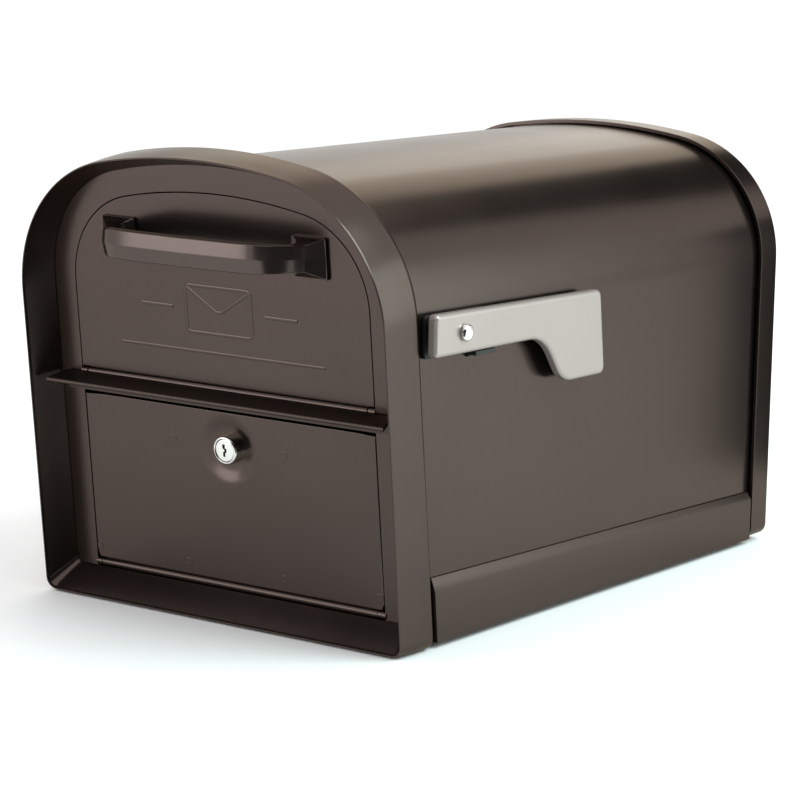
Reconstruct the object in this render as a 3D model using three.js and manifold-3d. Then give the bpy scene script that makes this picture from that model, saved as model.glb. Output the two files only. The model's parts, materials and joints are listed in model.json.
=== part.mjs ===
// Locking parcel drop box for a post mount: an arched sheet-steel shell on a base pan, a raked
// front collar with an upper hopper door and a lower locked door, a rear cap and a signal flag.
// Millimetres. X is to the right, Y to the back, Z up. The design is drawn from the front foot of
// the collar, and the finished group is moved so that its origin is the centre of the underside
// of the base pan.
import * as THREE from 'three';
import { mergeVertices } from 'three/addons/utils/BufferGeometryUtils.js';
import Module from 'manifold-3d';

const wasm = await Module();
wasm.setup();

// ---------- driving dimensions ----------
const WIDTH = 300;
const HEIGHT = 307;
const RAKE = 0.116; // how far the front leans forward for each millimetre of height
const BASE_Z = 3.5; // underside of the base pan; the collar hangs this much lower
const SHELL_REAR = 455;
const REAR_BEZEL_FRONT = 442.4;
const REAR_BEZEL_BACK = 465.5;
const CLEAR = 0.3; // gap between pieces that touch
const SHEET = 1.6; // painted outer sheet
const THIN_SHEET = 1.2; // bare inner sheet
const BASE_FRONT = 40.8;
const BASE_REAR = REAR_BEZEL_FRONT - 1;
const BASE_CENTRE_Y = (BASE_FRONT + BASE_REAR) / 2;
const MOUNT_HOLE_X = 60;
const MOUNT_HOLE_Y = 120;
const MOUNT_HOLE_RADIUS = 4;

const DOOR_DEPTH = 23.3; // from the rim of the collar back to the face of the doors
const DOOR_HALF = 120.5;
const DOOR_GAP = 1.1;
const HINGE_DEPTH = 24.9;
const HINGE_RADIUS = 2.6;
const HINGE_BORE = 1.95;
const ROD_RADIUS = 1.85;
const HINGE_HALF = 115.6;
const EAR_INNER = 116.4;
const LEAF_OUTER_HALF = 121.2; // the lower leaf widens above its barrel to reach the outer studs
const ROD_HALF = 120.5;
const HOPPER_HINGE_Z = 154;
const LOWER_HINGE_Z = 20.6;
const LOWER_DOOR_TOP = 139.2;
const LOCK_Z = 114.4;
const HANDLE_Z = 248.5;
const HANDLE_FOOT_X = 78;
const COLLAR_SCREW_X = 120;
const COLLAR_SCREW_Z = 10.4;
const HOPPER_BUMPER_X = 60;
const HOPPER_BUMPER_Z = 274;
const LOWER_BUMPER_X = 90;
const LOWER_BUMPER_Z = 135.4;

const HINGE_STUDS = [-117.5, -40, 40, 117.5];
const HINGE_STUD_Z = 32;
const LOCK_STUDS = [-46, 46];
const LOCK_STUD_Z = 116;
const STUD_RADIUS = 3;
const LOCK_PLATE_HALF = 60;
const DIMPLE_RADIUS = 22.3;
const LOCK_BORE = 6.25;
const REAR_SCREWS = [[-122, 30], [122, 30], [-122, 150], [122, 150], [-70, 270], [70, 270]];

// the tray behind the hopper door, measured from its hinge line along the door and square to it
const TRAY_START = [1.8, 12];
const TRAY_SLOPE = THREE.MathUtils.degToRad(26);
const TRAY_LENGTH = 150;
const TRAY_HALF = 114.4;
const TRAY_TIP = [
  TRAY_START[0] + TRAY_LENGTH * Math.cos(TRAY_SLOPE),
  TRAY_START[1] - TRAY_LENGTH * Math.sin(TRAY_SLOPE)
];
const CHEEK_REACH = 74;
const BAFFLE_Y = 119;
const BAFFLE_BOTTOM = 256;

const FLAG_PIVOT_Y = 49;
const FLAG_PIVOT_Z = 203.4;
const FLAG_INNER_X = 151.2;
const FLAG_THICK = 6.8;
const FLAG_BORE = 3.1;

const TILT = Math.atan(RAKE);
const LEFT_RIGHT = [['left', -1], ['right', 1]];

// arches: half width, bottom, top, shoulder radius, rise from spring line to top, bottom corner radius
const COLLAR = { half: WIDTH / 2, bottom: 0, top: HEIGHT, shoulder: 94, rise: 99.2, corner: 9 };
const FUNNEL = { half: 139.3, bottom: 17.6, top: HEIGHT - 7, shoulder: 75, rise: 82, corner: 4 };
const BODY = { half: 144.8, bottom: 8.6, top: 300.6, shoulder: 87, rise: 92, corner: 0 };
const REAR = { half: 149, bottom: BASE_Z, top: 304, shoulder: 88, rise: 93, corner: 8 };
const HOPPER_OPENING = { half: 121.6, bottom: 150.8, top: 282.6, shoulder: 60.6, rise: 66.6, corner: 0 };

// ---------- materials ----------
function finish(color, roughness, metalness) {
  return new THREE.MeshStandardMaterial({ color, roughness, metalness });
}
const bronze = finish(0x4e443d, 0.38, 0.6);
const darkBronze = finish(0x352d29, 0.45, 0.5);
const castBronze = finish(0x463b35, 0.35, 0.6);
const chrome = finish(0xd6d6d2, 0.15, 1);
const zinc = finish(0xa4a29c, 0.4, 0.9);
const galvanised = finish(0x8d8f8e, 0.5, 0.8);
const silverPaint = finish(0xc3c1b9, 0.4, 0.3);
const blackPlastic = finish(0x141414, 0.6, 0);
const rubber = finish(0x1b1b1b, 0.9, 0);

// ---------- solids ----------
function toSolid(geometry) {
  const bare = geometry.clone();
  for (const name of ['normal', 'uv']) bare.deleteAttribute(name);
  const merged = mergeVertices(bare, 1e-4);
  return new wasm.Manifold(new wasm.Mesh({
    numProp: 3,
    vertProperties: new Float32Array(merged.attributes.position.array),
    triVerts: new Uint32Array(merged.index.array)
  }));
}

function toGeometry(solid) {
  const mesh = solid.getMesh();
  const geometry = new THREE.BufferGeometry();
  geometry.setAttribute('position', new THREE.BufferAttribute(mesh.vertProperties, 3));
  geometry.setIndex(new THREE.BufferAttribute(mesh.triVerts, 1));
  geometry.computeVertexNormals();
  return geometry;
}

function join(...geometries) {
  return toGeometry(geometries.map(toSolid).reduce((all, next) => all.add(next)));
}

function cut(geometry, ...tools) {
  return toGeometry(tools.map(toSolid).reduce((left, tool) => left.subtract(tool), toSolid(geometry)));
}

function overlapOf(first, second) {
  return toGeometry(toSolid(first).intersect(toSolid(second)));
}

// ---------- outlines ----------
function arc(centreX, centreZ, radius, from, to, steps) {
  return Array.from({ length: steps + 1 }, (_, i) => {
    const angle = from + (to - from) * i / steps;
    return [centreX + radius * Math.cos(angle), centreZ + radius * Math.sin(angle)];
  });
}

// right foot, up the side, over the shoulder and crown, and down to the left foot
function archOutline({ half, bottom, top, shoulder, rise, corner }) {
  const spring = top - rise;
  const crown = ((half - shoulder) ** 2 + rise ** 2 - shoulder ** 2) / (2 * (rise - shoulder));
  const meet = Math.atan2(spring - top + crown, half - shoulder);
  const foot = corner
    ? arc(half - corner, bottom + corner, corner, -Math.PI / 2, 0, 3)
    : [[half, bottom]];
  const right = [
    ...foot,
    ...arc(half - shoulder, spring, shoulder, 0, meet, 8),
    ...arc(0, top - crown, crown, meet, Math.PI / 2, 4).slice(1)
  ];
  return [...right, ...right.slice(0, -1).reverse().map(([x, z]) => [-x, z])];
}

function inset(arch, by) {
  return {
    half: arch.half - by,
    bottom: arch.bottom + by,
    top: arch.top - by,
    shoulder: arch.shoulder - by,
    rise: arch.rise - by,
    corner: arch.corner && Math.max(arch.corner - by, 0.6)
  };
}

// ---------- lofts ----------
// Skins rings of points, each ring the same length. The ends are capped, or joined to each other.
function loft(rings, looped = false) {
  const count = rings[0].length;
  const triangles = [];
  const bridges = looped ? rings.length : rings.length - 1;
  for (let i = 0; i < bridges; i++) {
    const here = i * count;
    const there = ((i + 1) % rings.length) * count;
    for (let j = 0; j < count; j++) {
      const next = (j + 1) % count;
      triangles.push([here + j, here + next, there + next], [here + j, there + next, there + j]);
    }
  }
  if (!looped) {
    const cap = capTriangles(rings[0]);
    const last = (rings.length - 1) * count;
    cap.forEach(([a, b, c]) => triangles.push([a, c, b], [last + a, last + b, last + c]));
  }
  return outward(rings.flat(), triangles);
}

// Triangles of the ring's flat face, wound the way the ring runs.
function capTriangles(ring) {
  const area = [0, 1, 2].map((axis) => {
    const [u, v] = [0, 1, 2].filter((other) => other !== axis);
    return Math.abs(THREE.ShapeUtils.area(ring.map((point) => new THREE.Vector2(point[u], point[v]))));
  });
  const flat = area.indexOf(Math.max(...area));
  const [u, v] = [0, 1, 2].filter((axis) => axis !== flat);
  const contour = ring.map((point) => new THREE.Vector2(point[u], point[v]));
  const triangles = THREE.ShapeUtils.triangulateShape(contour, []);
  const covered = triangles.reduce((sum, corners) => (
    sum + THREE.ShapeUtils.area(corners.map((corner) => contour[corner]))), 0);
  const sameWay = covered * THREE.ShapeUtils.area(contour) > 0;
  return sameWay ? triangles : triangles.map(([a, b, c]) => [a, c, b]);
}

// Turns every face outward when the skin came out inside out.
function outward(points, triangles) {
  const volume = triangles.reduce((sum, [a, b, c]) => {
    const [p, q, r] = [points[a], points[b], points[c]].map((point) => new THREE.Vector3(...point));
    return sum + p.dot(q.cross(r));
  }, 0);
  const faces = volume < 0 ? triangles.map(([a, b, c]) => [a, c, b]) : triangles;
  const geometry = new THREE.BufferGeometry();
  geometry.setAttribute('position', new THREE.Float32BufferAttribute(points.flat(), 3));
  geometry.setIndex(faces.flat());
  geometry.computeVertexNormals();
  return geometry;
}

function placed(outline, depth, rake) {
  return outline.map(([x, z]) => [x, depth - rake * z, z]);
}

// Closed channel: each layer is an arch at a depth, and the layers run round the section.
function ringChannel(layers, rake) {
  return loft(layers.map(([arch, depth]) => placed(archOutline(arch), depth, rake)), true);
}

function archPlate(arch, front, back, rake) {
  const outline = archOutline(arch);
  return loft([placed(outline, front, rake), placed(outline, back, rake)]);
}

// ---------- simple shapes ----------
function block(x, y, z) {
  const [width, depth, height] = [x, y, z].map(([low, high]) => high - low);
  return new THREE.BoxGeometry(width, depth, height)
    .translate((x[0] + x[1]) / 2, (y[0] + y[1]) / 2, (z[0] + z[1]) / 2);
}

// Shears a piece drawn against an upright front so that it follows the raked one.
function raked(geometry) {
  const shear = new THREE.Matrix4();
  shear.elements[9] = -RAKE;
  return geometry.applyMatrix4(shear);
}

function rakedBlock(x, depth, z) {
  return raked(block(x, depth, z));
}

// A bar along X, at a depth behind the raked rim.
function barAlongX(radius, x, depth, z, sides = 12) {
  return new THREE.CylinderGeometry(radius, radius, x[1] - x[0], sides)
    .rotateZ(Math.PI / 2)
    .translate((x[0] + x[1]) / 2, depth - RAKE * z, z);
}

function cylinderY(radius, from, to, sides = 24) {
  return new THREE.CylinderGeometry(radius, radius, to - from, sides).translate(0, (from + to) / 2, 0);
}

// Turned piece about local Y; the profile lists radius and Y, and closes on itself.
function turned(profile, sides = 32) {
  const points = [...profile, profile[0]].map(([radius, y]) => new THREE.Vector2(radius, y));
  return new THREE.LatheGeometry(points, sides);
}

// Moves a piece drawn on its own face (local Y into the box) onto the raked face of the doors.
function onFace(geometry, x, z, depth = DOOR_DEPTH) {
  return geometry.rotateX(TILT).translate(x, depth - RAKE * z, z);
}

function extrudeAlongX(shape, from, to) {
  return new THREE.ExtrudeGeometry(shape, { depth: to - from, bevelEnabled: false, curveSegments: 6 })
    .applyMatrix4(new THREE.Matrix4().makeBasis(
      new THREE.Vector3(0, 1, 0), new THREE.Vector3(0, 0, 1), new THREE.Vector3(1, 0, 0)))
    .translate(from, 0, 0);
}

function polygonAlongY(points, from, to) {
  return loft([from, to].map((y) => points.map(([x, z]) => [x, y, z])));
}

function polygon(points) {
  return new THREE.Shape(points.map(([y, z]) => new THREE.Vector2(y, z)));
}

// Bent sheet: the polyline is its upper face, and the thickness goes to the right of travel.
function bentSheet(points, thickness) {
  const sides = points.slice(1).map(([y, z], i) => {
    const length = Math.hypot(y - points[i][0], z - points[i][1]);
    return [(z - points[i][1]) / length, -(y - points[i][0]) / length];
  });
  const under = points.map(([y, z], i) => {
    const before = sides[Math.max(i - 1, 0)];
    const after = sides[Math.min(i, sides.length - 1)];
    const stretch = thickness / (1 + before[0] * after[0] + before[1] * after[1]);
    return [y + (before[0] + after[0]) * stretch, z + (before[1] + after[1]) * stretch];
  });
  return polygon([...points, ...under.reverse()]);
}

// ---------- assembly ----------
const parcelBox = new THREE.Group();

function add(name, geometry, material, parent = parcelBox) {
  const mesh = new THREE.Mesh(geometry, material);
  mesh.name = name;
  parent.add(mesh);
  return mesh;
}

// ---------- cabinet ----------
// The collar runs back square to its raked rim, so its crown climbs towards the rear.
function makeCollar() {
  const wall = 2.6;
  const climbed = (arch, depth) => [{ ...arch, top: arch.top + RAKE * depth }, depth];
  const channel = ringChannel([
    climbed(inset(COLLAR, 3.2), 40),
    climbed(COLLAR, 35.5),
    [COLLAR, 2],
    [inset(COLLAR, 0.4), 0.5],
    [inset(COLLAR, 1.2), 0],
    [inset(COLLAR, 2), 0.5],
    [inset(COLLAR, 2.4), 2],
    [FUNNEL, DOOR_DEPTH - CLEAR],
    [inset(FUNNEL, -2.2), DOOR_DEPTH - CLEAR],
    climbed(inset(COLLAR, wall), 6),
    climbed(inset(COLLAR, wall), 35),
    climbed(inset(COLLAR, 4.6), 40)
  ], RAKE);
  const bosses = LEFT_RIGHT.map(([, side]) => (
    onFace(cylinderY(2.4, -6.5, -CLEAR, 12), side * COLLAR_SCREW_X, COLLAR_SCREW_Z)));
  const pilots = LEFT_RIGHT.map(([, side]) => (
    onFace(cylinderY(1.6, -5.9, 1, 12), side * COLLAR_SCREW_X, COLLAR_SCREW_Z)));
  return cut(join(channel, ...bosses), ...pilots);
}

function makeShell() {
  const outer = archOutline(BODY);
  const inner = archOutline({ ...inset(BODY, SHEET - 0.1), bottom: BODY.bottom }).reverse();
  const section = [...outer, ...inner];
  const front = DOOR_DEPTH + 2.9;
  const shell = loft([placed(section, front, RAKE), placed(section, SHELL_REAR, 0)]);
  const pivotHole = barThroughSide(FLAG_BORE + 0.2, [BODY.half - 8, BODY.half + 4]);
  return cut(shell, pivotHole);
}

function makeBasePan() {
  const outer = 148.5;
  const inner = BODY.half + 0.5;
  const floor = block([-outer, outer], [BASE_FRONT, BASE_REAR], [BASE_Z, BASE_Z + SHEET]);
  const section = (side, low, high) => [
    [side * inner, BASE_Z],
    [side * outer, BASE_Z],
    [side * outer, low],
    [side * (inner + 0.4), high],
    [side * inner, high]
  ];
  const rails = LEFT_RIGHT.map(([, side]) => loft([
    placed(section(side, 37.4, 46.5), BASE_FRONT, RAKE),
    placed(section(side, 33.6, 39), BASE_REAR, 0)
  ]));
  const holes = [];
  for (const x of [-MOUNT_HOLE_X, MOUNT_HOLE_X]) {
    for (const y of [-MOUNT_HOLE_Y, MOUNT_HOLE_Y]) {
      holes.push(cylinderY(MOUNT_HOLE_RADIUS, -4, 4, 20).rotateX(Math.PI / 2)
        .translate(x, BASE_CENTRE_Y + y, BASE_Z));
    }
  }
  return cut(join(floor, ...rails), ...holes);
}

function hingeEar(side, z) {
  return barAlongX(HINGE_RADIUS, side > 0 ? [EAR_INNER, 122] : [-122, -EAR_INNER], HINGE_DEPTH, z);
}

function stopTab(x, z) {
  return join(
    rakedBlock([x - 6, x + 6], [27.6, 29], [z - 4, z + 9]),
    rakedBlock([x - 6, x + 6], [DOOR_DEPTH + 1, 28], [z + 5, z + 9])
  );
}

function makeDoorFrame() {
  const back = DOOR_DEPTH + 2;
  const skirt = inset(BODY, 1.9);
  const skirtArch = { ...skirt, bottom: BASE_Z + 2, corner: 1.2 };
  const plate = cut(
    archPlate(inset(COLLAR, 3.4), DOOR_DEPTH, back, RAKE),
    archPlate(HOPPER_OPENING, DOOR_DEPTH - 2, back + 2, RAKE),
    rakedBlock([-DOOR_HALF - DOOR_GAP, DOOR_HALF + DOOR_GAP], [20, 30], [17.4, LOWER_DOOR_TOP + 1])
  );
  const skirtRing = ringChannel([
    [skirtArch, back - 0.5],
    [skirtArch, 48],
    [inset(skirtArch, 1.4), 48],
    [inset(skirtArch, 1.4), back - 0.5]
  ], RAKE);
  const ears = LEFT_RIGHT.flatMap(([, side]) => [
    hingeEar(side, HOPPER_HINGE_Z),
    hingeEar(side, LOWER_HINGE_Z)
  ]);
  const tabs = LEFT_RIGHT.flatMap(([, side]) => [
    stopTab(side * HOPPER_BUMPER_X, HOPPER_BUMPER_Z),
    stopTab(side * LOWER_BUMPER_X, LOWER_BUMPER_Z)
  ]);
  const rodBores = [HOPPER_HINGE_Z, LOWER_HINGE_Z].map((z) => (
    barAlongX(HINGE_BORE, [-121, 121], HINGE_DEPTH, z)));
  const screwHoles = LEFT_RIGHT.map(([, side]) => (
    onFace(cylinderY(2.1, -1, 6, 12), side * COLLAR_SCREW_X, COLLAR_SCREW_Z)));
  return cut(join(plate, skirtRing, ...ears, ...tabs), ...rodBores, ...screwHoles);
}

// Drip ledge between the doors: it slopes to a rounded nose just behind the rim.
function makeLedge() {
  const section = [
    [23, 141.2],
    [23, 150.6],
    [22, 152],
    [21.8, 153.4],
    [20.4, 153.2],
    [4.6, 149.4],
    [3.5, 148.4],
    [3.5, 147.2],
    [4.6, 146.4],
    [21.2, 150.6],
    [21.2, 141.2]
  ];
  const rearHalf = 132.5;
  const splay = 0.23;
  const end = (side) => section.map(([depth, z]) => (
    [side * (rearHalf + splay * (DOOR_DEPTH - depth)), depth - RAKE * z, z]));
  return loft([end(-1), end(1)]);
}

function makeStrike() {
  const section = bentSheet([[27.2, 150], [27.2, 146], [39.5, 146], [39.5, 139.9]], SHEET);
  return raked(extrudeAlongX(section, -22, 22));
}

function makeRearBezel() {
  return ringChannel([
    [REAR, REAR_BEZEL_FRONT],
    [REAR, 461],
    [inset(REAR, 0.9), 464.2],
    [inset(REAR, 3), REAR_BEZEL_BACK],
    [inset(REAR, 10), REAR_BEZEL_BACK],
    [inset(REAR, 11), 464.5],
    [inset(REAR, 11), 458.2],
    [inset(REAR, 2.6), 458.2],
    [inset(REAR, 2.6), REAR_BEZEL_FRONT]
  ], 0);
}

function makeRearPanel() {
  const front = SHELL_REAR + 0.6;
  const back = front + SHEET;
  const bead = inset(REAR, 34);
  const skirt = { ...inset(BODY, 1.9), corner: 1.2 };
  const panel = join(
    archPlate(inset(REAR, 3.2), front, back, 0),
    ringChannel([[skirt, 443], [skirt, front + 0.5], [inset(skirt, 1.4), front + 0.5],
      [inset(skirt, 1.4), 443]], 0),
    ringChannel([[bead, back - 0.5], [inset(bead, 1.5), back + 1.2], [inset(bead, 5), back + 1.2],
      [inset(bead, 6.5), back - 0.5]], 0)
  );
  const holes = REAR_SCREWS.map(([x, z]) => cylinderY(2.2, 440, 470, 12).translate(x, 0, z));
  return cut(panel, ...holes);
}

function makeBaffle() {
  const [front, back] = [BAFFLE_Y, BAFFLE_Y + 1.4];
  const section = archPlate(inset(BODY, 1.9), front, back, 0);
  const hung = overlapOf(section, block([-200, 200], [front - 1, back + 1], [BAFFLE_BOTTOM, 400]));
  const foot = overlapOf(
    archPlate(inset(BODY, 1.9), front, front + 10, 0),
    block([-138, 138], [front, front + 10], [BAFFLE_BOTTOM, BAFFLE_BOTTOM + 1.4])
  );
  return join(hung, foot);
}

// ---------- doors ----------
function makeHopperDoor() {
  const arch = { ...inset(HOPPER_OPENING, DOOR_GAP), bottom: HOPPER_HINGE_Z + 3.2 };
  const panel = archPlate(arch, DOOR_DEPTH, DOOR_DEPTH + SHEET, RAKE);
  const screwHoles = LEFT_RIGHT.map(([, side]) => (
    onFace(cylinderY(2.4, -2, 4, 12), side * HANDLE_FOOT_X, HANDLE_Z)));
  return cut(join(panel, ...emblem()), ...screwHoles);
}

// Raised outline of an envelope between two short rules, with a longer rule below.
function emblem() {
  const [high, low, half, line] = [222, 190, 27, 2.4];
  const middle = (high + low) / 2;
  const raise = [DOOR_DEPTH - 0.6, DOOR_DEPTH + 0.4];
  const bar = (x, z) => rakedBlock(x, raise, z);
  const flapAngle = Math.atan2((high - low) * 0.55, half);
  const flapLength = half / Math.cos(flapAngle);
  const flaps = [-1, 1].map((side) => raked(
    new THREE.BoxGeometry(flapLength, 1, line).rotateY(side * flapAngle)
      .translate(side * half / 2, DOOR_DEPTH - 0.1, high - (high - low) * 0.275 - line / 2)));
  return [
    bar([-half, half], [high - line, high]),
    bar([-half, half], [low, low + line]),
    bar([-half, -half + line], [low, high]),
    bar([half - line, half], [low, high]),
    ...flaps,
    bar([-60, -36], [middle - line / 2, middle + line / 2]),
    bar([36, 60], [middle - line / 2, middle + line / 2]),
    bar([-84, 84], [176.5, 178.9])
  ];
}

function hingeLeaf(z, wideHalf, height) {
  const leaf = join(
    barAlongX(HINGE_RADIUS, [-HINGE_HALF, HINGE_HALF], HINGE_DEPTH, z),
    rakedBlock([-HINGE_HALF, HINGE_HALF], [HINGE_DEPTH + CLEAR, HINGE_DEPTH + 1.5], [z, z + 6]),
    rakedBlock([-wideHalf, wideHalf], [HINGE_DEPTH + CLEAR, HINGE_DEPTH + 1.5], [z + 4.6, z + height])
  );
  return cut(leaf, barAlongX(HINGE_BORE, [-HINGE_HALF - 1, HINGE_HALF + 1], HINGE_DEPTH, z));
}

function atHopperHinge(geometry) {
  return onFace(geometry, 0, HOPPER_HINGE_Z, HINGE_DEPTH);
}

function makeTray() {
  const [tipY, tipZ] = TRAY_TIP;
  const section = bentSheet([
    [TRAY_START[0] + 1.2, 30],
    [TRAY_START[0] + 1.2, TRAY_START[1]],
    [tipY, tipZ],
    [tipY + 2.5, tipZ + 9]
  ], THIN_SHEET);
  return atHopperHinge(extrudeAlongX(section, -TRAY_HALF, TRAY_HALF));
}

function makeCheek(side) {
  const [tipY, tipZ] = TRAY_TIP;
  const round = arc(0, 0, CHEEK_REACH, Math.PI / 2 - 0.03, Math.PI / 6, 8);
  const shape = polygon([[2.2, 6], ...round, [tipY, tipZ + 24], [tipY, tipZ - 3]]);
  const near = TRAY_HALF + CLEAR;
  const far = near + THIN_SHEET;
  return atHopperHinge(extrudeAlongX(shape, side > 0 ? near : -far, side > 0 ? far : -near));
}

// Pull handle: two flared square feet and a bowed strap with a ridge along its middle. The door
// leans and the strap stands level with its feet, so it climbs along the door as it comes out.
function makeHandle() {
  const climb = (out) => out * RAKE;
  const path = new THREE.CatmullRomCurve3([
    [-75, -8], [-70.5, -20], [-63, -30], [-50, -33.6], [0, -36], [50, -33.6], [63, -30], [70.5, -20], [75, -8]
  ].map(([x, y]) => new THREE.Vector3(x, y, 0)));
  const rings = path.getSpacedPoints(22).map((point, i, all) => {
    const along = path.getTangentAt(i / (all.length - 1));
    const out = new THREE.Vector3(along.y, -along.x, 0);
    return [[2.6, 0], [0.6, 9.2], [-2.4, 8.4], [-3, 0], [-2.4, -8.4], [0.6, -9.2]].map(([off, z]) => (
      [point.x + out.x * off, point.y + out.y * off, z + climb(-point.y)]));
  });
  const feet = LEFT_RIGHT.map(([, side]) => loft([
    [0.3, 13.6], [2.2, 13.6], [2.2, 12.4], [8, 10.2], [14.5, 8.6]
  ].map(([out, half]) => [[-1, -1], [1, -1], [1, 1], [-1, 1]].map(([u, v]) => (
    [side * (HANDLE_FOOT_X - Math.max(out - 2.2, 0) * 0.3) + u * half * 0.98,
      -out,
      v * half + climb(Math.max(out - 2.2, 0))])))));
  const pilots = LEFT_RIGHT.map(([, side]) => cylinderY(1.9, -9.5, 1, 12)
    .translate(side * HANDLE_FOOT_X, 0, 0));
  return onFace(cut(join(loft(rings), ...feet), ...pilots), 0, HANDLE_Z);
}

function panScrew(shank, length, head, headHeight, sides = 12) {
  return turned([
    [0.001, -length],
    [shank, -length],
    [shank, 0],
    [head, 0],
    [head, headHeight * 0.4],
    [head * 0.6, headHeight],
    [0.001, headHeight]
  ], sides);
}

function studHoles() {
  const hole = (x, z) => onFace(cylinderY(STUD_RADIUS + 0.25, -2, 6, 12), x, z);
  return [
    ...HINGE_STUDS.map((x) => hole(x, HINGE_STUD_Z)),
    ...LOCK_STUDS.map((x) => hole(x, LOCK_STUD_Z))
  ];
}

function makeLowerDoor() {
  const panel = cut(
    rakedBlock([-DOOR_HALF, DOOR_HALF], [DOOR_DEPTH, DOOR_DEPTH + SHEET], [23.8, LOWER_DOOR_TOP]),
    onFace(cylinderY(DIMPLE_RADIUS - 0.4, -2, 4, 28), 0, LOCK_Z),
    ...studHoles()
  );
  const dish = turned([
    [DIMPLE_RADIUS, 1.5],
    [21.4, 2],
    [18.6, 3.8],
    [14.8, 5.6],
    [8.4, 5.6],
    [8.4, 4],
    [14.2, 4],
    [17.4, 2.2],
    [20.6, 0.4],
    [DIMPLE_RADIUS, 0.1]
  ], 28);
  return join(panel, onFace(dish, 0, LOCK_Z));
}

// U-shaped stiffener round the back of the lock's dimple.
function makeLockPlate() {
  return cut(
    rakedBlock([-LOCK_PLATE_HALF, LOCK_PLATE_HALF], [25.2, 26.8], [82, 130]),
    onFace(cylinderY(DIMPLE_RADIUS + 0.5, -2, 8, 24), 0, LOCK_Z),
    ...studHoles()
  );
}

function makeStud() {
  return turned([
    [0.001, -0.25],
    [STUD_RADIUS - 0.6, -0.25],
    [STUD_RADIUS, 0],
    [STUD_RADIUS, 4.2],
    [0.001, 4.2]
  ], 12);
}

// ---------- cam lock, drawn about its own axis with local Y into the box ----------
function makeLockHousing() {
  return turned([
    [LOCK_BORE, -3.1],
    [7.2, -3.7],
    [9.1, -3.7],
    [9.9, -2.9],
    [9.9, 3.7],
    [8, 3.7],
    [8, 15.5],
    [LOCK_BORE, 15.5]
  ], 24);
}

function makeLockPlug() {
  const plug = turned([
    [0.001, -3.2],
    [5.4, -3.2],
    [LOCK_BORE - 0.1, -2.6],
    [LOCK_BORE - 0.1, 16.5],
    [0.001, 16.5]
  ], 24);
  const keyway = polygonAlongY([
    [-1.2, 4.2], [0.4, 4.2], [0.4, 1.6], [1.2, 1], [1.2, -1], [0.4, -1.6], [0.4, -4.2],
    [-0.9, -4.2], [-0.9, -1.2], [-0.2, -0.6], [-0.2, 0.6], [-1.2, 1.4]
  ], -5, 1);
  return cut(plug, keyway, cylinderY(1.95, 9, 18, 12));
}

// The cam points to the left when the door is free, and up when it is locked.
function makeCam() {
  const round = arc(-23, 0, 6, Math.PI / 2, Math.PI * 1.5, 8);
  const plate = polygonAlongY([[0, 6], ...round, [0, -6], [6, -4], [6, 4]], 16.8, 18.6);
  return cut(plate, cylinderY(2.3, 15, 20, 16));
}

// ---------- flag ----------
function barThroughSide(radius, x) {
  return new THREE.CylinderGeometry(radius, radius, x[1] - x[0], 20).rotateZ(Math.PI / 2)
    .translate((x[0] + x[1]) / 2, FLAG_PIVOT_Y, FLAG_PIVOT_Z);
}

function makeFlag() {
  const bevel = 1.5;
  const shape = new THREE.Shape();
  shape.moveTo(22.5, 191.4);
  shape.quadraticCurveTo(20, 191.4, 20, 194);
  shape.lineTo(20, 213.4);
  shape.quadraticCurveTo(20, 215.8, 22.5, 215.8);
  shape.lineTo(205, 213);
  shape.quadraticCurveTo(208, 213, 208.4, 210);
  shape.lineTo(214.6, 163.5);
  shape.quadraticCurveTo(215, 158.6, 209.5, 158.5);
  shape.lineTo(170.5, 158.5);
  shape.quadraticCurveTo(165, 158.5, 162, 163);
  shape.lineTo(147.5, 185.5);
  shape.quadraticCurveTo(143.5, 190.4, 136, 191);
  const flat = new THREE.ExtrudeGeometry(shape, {
    depth: FLAG_THICK - 2 * bevel,
    bevelThickness: bevel,
    bevelSize: bevel,
    bevelSegments: 2,
    curveSegments: 5
  }).applyMatrix4(new THREE.Matrix4().makeBasis(
    new THREE.Vector3(0, 1, 0), new THREE.Vector3(0, 0, 1), new THREE.Vector3(1, 0, 0)))
    .translate(FLAG_INNER_X + bevel, 0, 0);
  return cut(flat, barThroughSide(FLAG_BORE, [FLAG_INNER_X - 2, FLAG_INNER_X + 10]));
}

// Black mount on the side of the shell, with a pivot boss and the tab that the arm rests on.
function makeFlagMount() {
  const inner = BODY.half + CLEAR;
  const plate = block([inner, inner + 2.4], [20.6, 84], [188.2, 215.4]);
  const boss = barThroughSide(8, [inner, FLAG_INNER_X - CLEAR]);
  const tab = block([inner, 156.5], [64, 86], [186.6, 189.4]);
  const rib = polygonAlongY([[inner, 178], [inner, 188], [154, 188]], 70, 73);
  return cut(join(plate, boss, tab, rib), barThroughSide(FLAG_BORE, [inner - 2, FLAG_INNER_X + 2]));
}

function aboutFlagPivot(geometry) {
  return geometry.rotateZ(-Math.PI / 2).translate(0, FLAG_PIVOT_Y, FLAG_PIVOT_Z);
}

function makeFlagRivet() {
  const face = FLAG_INNER_X + FLAG_THICK + CLEAR;
  return aboutFlagPivot(turned([
    [0.001, BODY.half - 9],
    [FLAG_BORE - 0.12, BODY.half - 9],
    [FLAG_BORE - 0.12, face],
    [5.4, face],
    [5.4, face + 2.2],
    [4.3, face + 3.6],
    [0.001, face + 3.6]
  ], 24));
}

// ---------- build ----------
add('body_shell', makeShell(), bronze);
add('base_pan', makeBasePan(), bronze);
add('front_collar', makeCollar(), bronze);
add('door_frame', makeDoorFrame(), bronze);
add('divider_ledge', makeLedge(), darkBronze);
add('rear_bezel', makeRearBezel(), bronze);
add('rear_panel', makeRearPanel(), bronze);
add('baffle_plate', makeBaffle(), galvanised);
add('lock_strike', makeStrike(), galvanised);

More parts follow.
